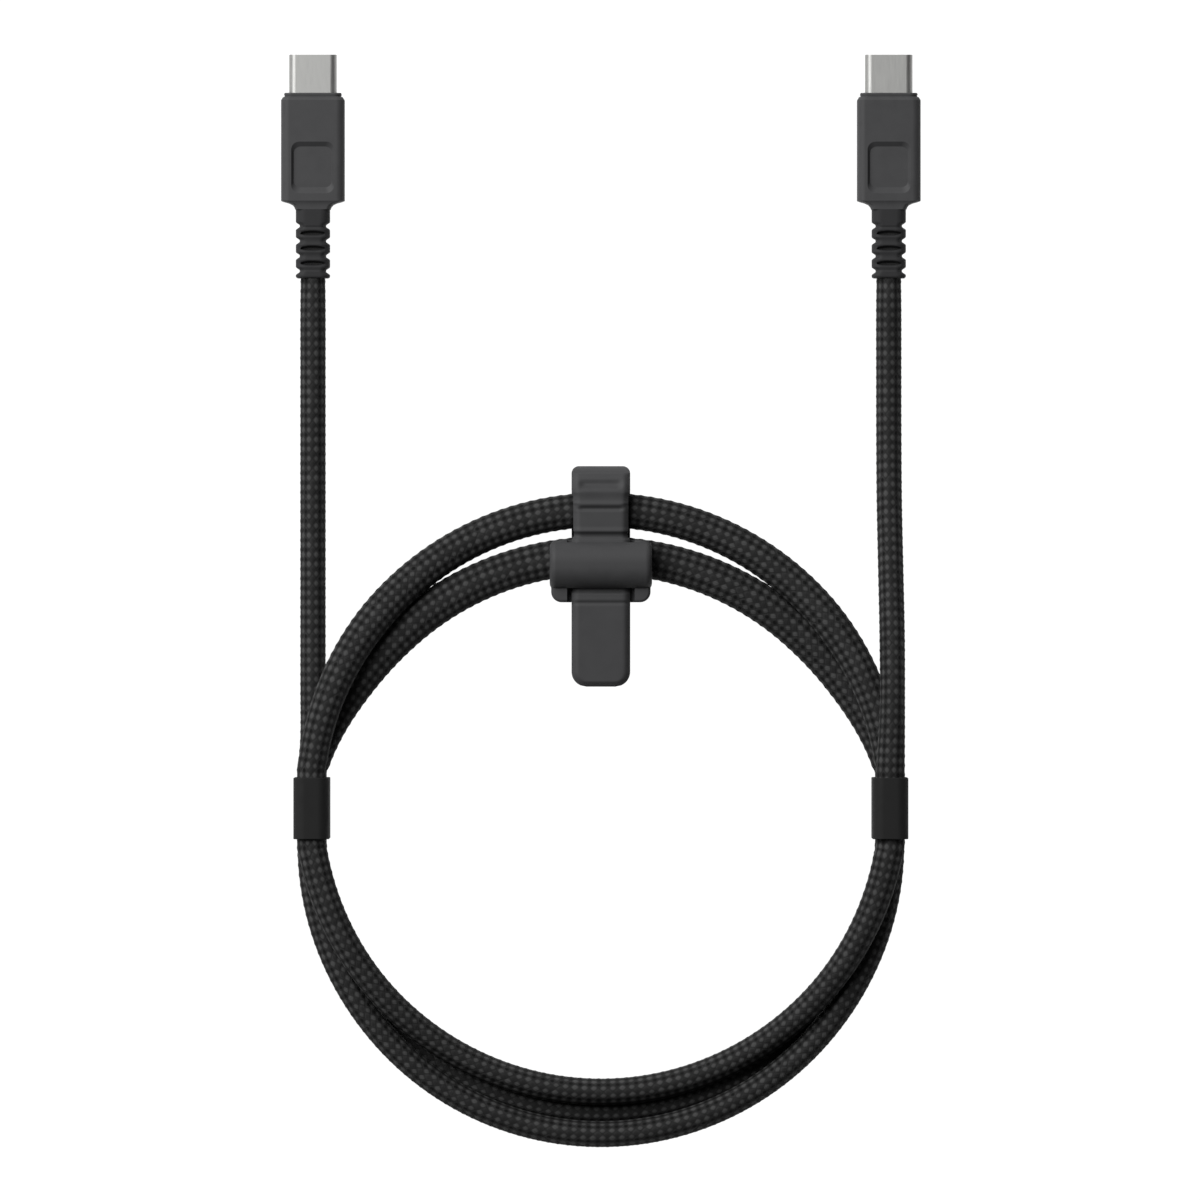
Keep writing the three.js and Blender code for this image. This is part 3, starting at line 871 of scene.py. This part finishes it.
right_boot = copy_to_right(boot, "right_relief_boot", 2 * PLUG_X)

# %% [markdown]
# ## Side sleeves
# A short moulded rubber sleeve is stretched over the three strands at each side of the coil. It
# is a rounded tube with a thin wall, and between the strands it draws in a little.

# %% Side sleeves
SLEEVE = (6.2, 10.6, 16.2)
ROWS_UP, ROWS_ALONG = 24, 6
DRAWN_IN = 0.28
sleeve_y = (STRAIGHT_TOP + STRAIGHT_LOW) / 2
band = block("left_rubber_sleeve", (-SIDE_X - SLEEVE[0] / 2, -SIDE_X + SLEEVE[0] / 2),
             (sleeve_y - SLEEVE[1] / 2, sleeve_y + SLEEVE[1] / 2), (0, SLEEVE[2]), place)
with editing(band):
    pick(band, "EDGE", runs_along(1))
    bevel(2.0, 8)
    for i in range(1, ROWS_UP):
        bpy.ops.mesh.select_all(action="SELECT")
        bpy.ops.mesh.bisect(plane_co=place(0, 0, SLEEVE[2] * i / ROWS_UP), plane_no=(0, 0, 1))
    for i in range(1, ROWS_ALONG):
        bpy.ops.mesh.select_all(action="SELECT")
        bpy.ops.mesh.bisect(plane_co=place(0, sleeve_y + SLEEVE[1] * (i / ROWS_ALONG - 0.5), 0),
                            plane_no=(0, 1, 0))
    pick(band, "FACE", lambda face: abs(face.normal.y) > 0.9)
    bpy.ops.mesh.delete(type="FACE")
for vertex in band.data.vertices:
    height = vertex.co.z / MM
    between = 0.5 - 0.5 * math.cos(2 * math.pi * (height - LEVELS[0]) / LEVEL_STEP)
    if LEVELS[0] < height < LEVELS[2]:
        vertex.co.x -= math.copysign(DRAWN_IN * between * MM, vertex.co.x + SIDE_X * MM)
apply_modifier(band, "SOLIDIFY", thickness=0.4 * MM, offset=-1.0)
soften(band, 0.12, 2, 50)
shade(band, band_rubber, 45)
right_band = copy_to_right(band, "right_rubber_sleeve", 2 * SIDE_X)

# %% [markdown]
# ## Keeper
# The keeper is the strap's buckle: a flat base with round corners and a slot through it, and a
# domed bridge over the slot. The strap comes in from the top and leaves towards the middle of
# the coil, between two ears of the base. Base and bridge are two rounded blocks that are joined,
# and the slot is cut through both.

# %% Keeper
KEEPER_HALF, BRIDGE_HALF = 8.6, 8.85
KEEPER_Y, KEEPER_Z = (38.1, 48.9), (6.5, 9.3)
BRIDGE_Y, BRIDGE_Z = (40.25, 48.8), (6.7, 11.8)
SLOT_HALF = 5.85
SLOT_Z = (7.2, 9.45)
keeper = block("strap_buckle", (-KEEPER_HALF, KEEPER_HALF), KEEPER_Y, KEEPER_Z, place)
with editing(keeper):
    pick(keeper, "EDGE", runs_along(2))
    bevel(1.8, 7)
    pick(keeper, "EDGE", rim_of(2, 1))
    bevel(0.5, 3)
bridge = block("bridge_tool", (-BRIDGE_HALF, BRIDGE_HALF), BRIDGE_Y, BRIDGE_Z, place)
with editing(bridge):
    is_long = runs_along(0)
    pick(bridge, "EDGE", lambda edge: is_long(edge) and edge.verts[0].co.z > 11 * MM)
    bevel(3.9, 12)
    is_right, is_left = rim_of(0, 1), rim_of(0, -1)
    pick(bridge, "EDGE", lambda edge: (is_right(edge) or is_left(edge))
         and max(vertex.co.z for vertex in edge.verts) > 7 * MM)
    bevel(1.1, 5)
combine(keeper, bridge, "UNION")
combine(keeper, block("strap_slot_tool", (-SLOT_HALF, SLOT_HALF), (36, 51), SLOT_Z, place))
soften(keeper, 0.14, 2, 40)
shade(keeper, strap_silicone, 40)

# %% [markdown]
# ## Strap
# The strap is moulded flat, in silicone 1.6 mm thick, with round edges, a round tip, and teeth
# across its outer face that catch in the keeper. Then it is bent: from the keeper it goes down
# inside the coil, back under both strands, round a fold, and over them through the slot.
# The piece is made in the same order. A fine grid is rounded at its tip, given its
# thickness and bevelled, then its outer face is moulded, and last each point is carried from
# the flat strap to the bent one.

# %% Flat strap
STRAP_W, STRAP_T = 10.15, 1.6
WALL_Y, WALL_TOP = 41.3, 6.4  # the middle of the strap's inner, upright run
UNDER_Z, OVER_Z = 0.8, 8.3
CORNER_R = 1.0
FOLD_R = (OVER_Z - UNDER_Z) / 2
FOLD_Y = 61.7 - FOLD_R - STRAP_T / 2
TIP_OF_TAIL = 23.5
TIP_R = 2.6
FOLD_EDGE_R = 1.3

runs = {
    "down": WALL_TOP - UNDER_Z - CORNER_R,
    "corner": CORNER_R * math.pi / 2,
    "under": FOLD_Y - WALL_Y - CORNER_R,
    "fold": FOLD_R * math.pi,
    "over": FOLD_Y - TIP_OF_TAIL,
}
strap_length = sum(runs.values())
before_over = strap_length - runs["over"]
print("strap, moulded flat:", round(strap_length, 1), "mm long")

bpy.ops.object.select_all(action="DESELECT")
bpy.ops.mesh.primitive_grid_add(x_subdivisions=28, y_subdivisions=int(strap_length / 0.22),
                                size=1, location=(0, strap_length / 2 * MM, 0))
strap = finish_primitive("cable_strap", (STRAP_W, strap_length, 1))
for vertex in strap.data.vertices:
    from_tip = strap_length - vertex.co.y / MM
    if from_tip < TIP_R:
        cut_in = TIP_R - math.sqrt(max(TIP_R ** 2 - (TIP_R - from_tip) ** 2, 0))
        vertex.co.x *= 1 - 2 * cut_in / STRAP_W


def is_rim(edge):
    """The edges between a broad face and the side of the strap."""
    upright = sorted(abs(face.normal.z) for face in edge.link_faces)
    return len(upright) == 2 and upright[0] < 0.1 and upright[1] > 0.9


with editing(strap):
    bpy.ops.mesh.select_all(action="SELECT")
    bpy.ops.mesh.extrude_region_move(TRANSFORM_OT_translate={"value": (0, 0, STRAP_T * MM)})
    bpy.ops.mesh.select_all(action="SELECT")
    bpy.ops.mesh.normals_make_consistent(inside=False)
    pick(strap, "EDGE", is_rim)
    bevel(0.3, 3)
print("flat strap:", len(strap.data.polygons), "faces")

# %% [markdown]
# ### Teeth
# Each tooth ends in a raised lip and a groove. The first groove, on the fold, and the second
# stop short of the sides. Between the grooves the strap is a little narrower.

# %% Teeth, then the bend
# (y, height above the plain face, half width), in mm; at a groove the half width is smaller
TEETH = ((61.0, 0, 6), (60.0, 0.1, 6), (59.3, 0.06, 6), (58.4, -0.42, 3.7), (57.2, 0.1, 6),
         (56.1, 0, 6), (55.8, 0, 6), (55.05, 0.2, 6), (54.25, -0.36, 4.3), (53.8, -0.06, 6),
         (51.2, 0, 6), (50.4, 0.2, 6), (49.85, -0.4, 6), (49.35, -0.5, 6), (49.0, -0.1, 6),
         (48.3, 0, 6), (40.9, 0, 6), (40.5, -0.5, 6), (40.0, -0.5, 6), (39.6, 0.04, 6),
         (38.5, 0.12, 6), (38.0, -0.16, 6), (37.5, 0, 6))
EDGE_SLOPE = 0.95
EDGE_LENGTH = 0.85


def tooth_relief(x, y):
    """How far the outer face stands above its plain surface."""
    for upper, lower in zip(TEETH, TEETH[1:]):
        if lower[0] <= y < upper[0]:
            share = (upper[0] - y) / (upper[0] - lower[0])
            share = smooth(share, 0, 1)
            height = upper[1] + (lower[1] - upper[1]) * share
            half_width = min(upper[2], lower[2])
            return height * (1 - smooth(abs(x), half_width - 0.8, half_width + 0.3))
    return 0


def edge_drop(x, from_tip):
    """How far the outer face is chamfered down near the strap's sides and round tip."""
    to_side = STRAP_W / 2 - abs(x)
    inside = min(to_side, from_tip)
    if to_side < TIP_R and from_tip < TIP_R:
        inside = TIP_R - math.hypot(TIP_R - to_side, TIP_R - from_tip)
    return EDGE_SLOPE * max(EDGE_LENGTH - inside, 0)


def width_there(y):
    """The strap's width over the strands, as a share of its plain width."""
    waist = smooth(y, 48.9, 49.8) * (1 - smooth(y, 56.4, 57.6))
    return 1 - 0.06 * waist - 0.03 * (1 - smooth(abs(y - 49.75), 0.3, 0.9))


def bent(distance, offset):
    """Y and Z of a point of the bent strap, offset mm outside its middle surface."""
    if distance < runs["down"]:
        return WALL_Y - offset, WALL_TOP - distance
    distance -= runs["down"]
    if distance < runs["corner"]:
        angle = math.pi + distance / CORNER_R
        return (WALL_Y + CORNER_R + (CORNER_R + offset) * math.cos(angle),
                UNDER_Z + CORNER_R + (CORNER_R + offset) * math.sin(angle))
    distance -= runs["corner"]
    if distance < runs["under"]:
        return WALL_Y + CORNER_R + distance, UNDER_Z - offset
    distance -= runs["under"]
    if distance < runs["fold"]:
        angle = distance / FOLD_R - math.pi / 2
        return (FOLD_Y + (FOLD_R + offset) * math.cos(angle),
                (UNDER_Z + OVER_Z) / 2 + (FOLD_R + offset) * math.sin(angle))
    return FOLD_Y - (distance - runs["fold"]), OVER_Z + offset


for vertex in strap.data.vertices:
    x, distance, height = [number / MM for number in vertex.co]
    y = FOLD_Y - (distance - before_over)
    if distance > before_over - 3:
        if height > 0.55 * STRAP_T:
            height += tooth_relief(x, y) - edge_drop(x, strap_length - distance)
        x *= width_there(y)
    y, z = bent(distance, height - STRAP_T / 2)
    from_edge = FOLD_EDGE_R - min(max(FOLD_Y + FOLD_R + STRAP_T / 2 - y, 0), FOLD_EDGE_R)
    cut_in = FOLD_EDGE_R - math.sqrt(FOLD_EDGE_R ** 2 - from_edge ** 2)
    vertex.co = place(-x * (1 - 2 * cut_in / STRAP_W), y, z)
shade(strap, strap_silicone, 60)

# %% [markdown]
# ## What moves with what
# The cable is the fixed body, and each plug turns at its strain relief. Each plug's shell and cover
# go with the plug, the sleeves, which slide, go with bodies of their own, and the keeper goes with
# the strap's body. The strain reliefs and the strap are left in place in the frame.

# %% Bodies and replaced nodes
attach(cable, "root")
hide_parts("cable_sleeve")

for side, side_shell, side_cover, side_boot, side_band, x in (
        ("left", shell, cover, boot, band, -PLUG_X),
        ("right", right_shell, right_cover, right_boot, right_band, PLUG_X)):
    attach(side_shell, f"{side}_plug")
    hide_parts(f"{side}_plug_shell")
    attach(side_cover, f"{side}_plug")
    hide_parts(f"{side}_plug_cover")
    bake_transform(side_boot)
    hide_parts(f"{side}_strain_relief")
    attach(side_band, f"{side}_band")
    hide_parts(f"{side}_coil_band")

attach(keeper, "strap")
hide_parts("strap_keeper")
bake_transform(strap)
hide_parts("strap_loop", "strap_tail")
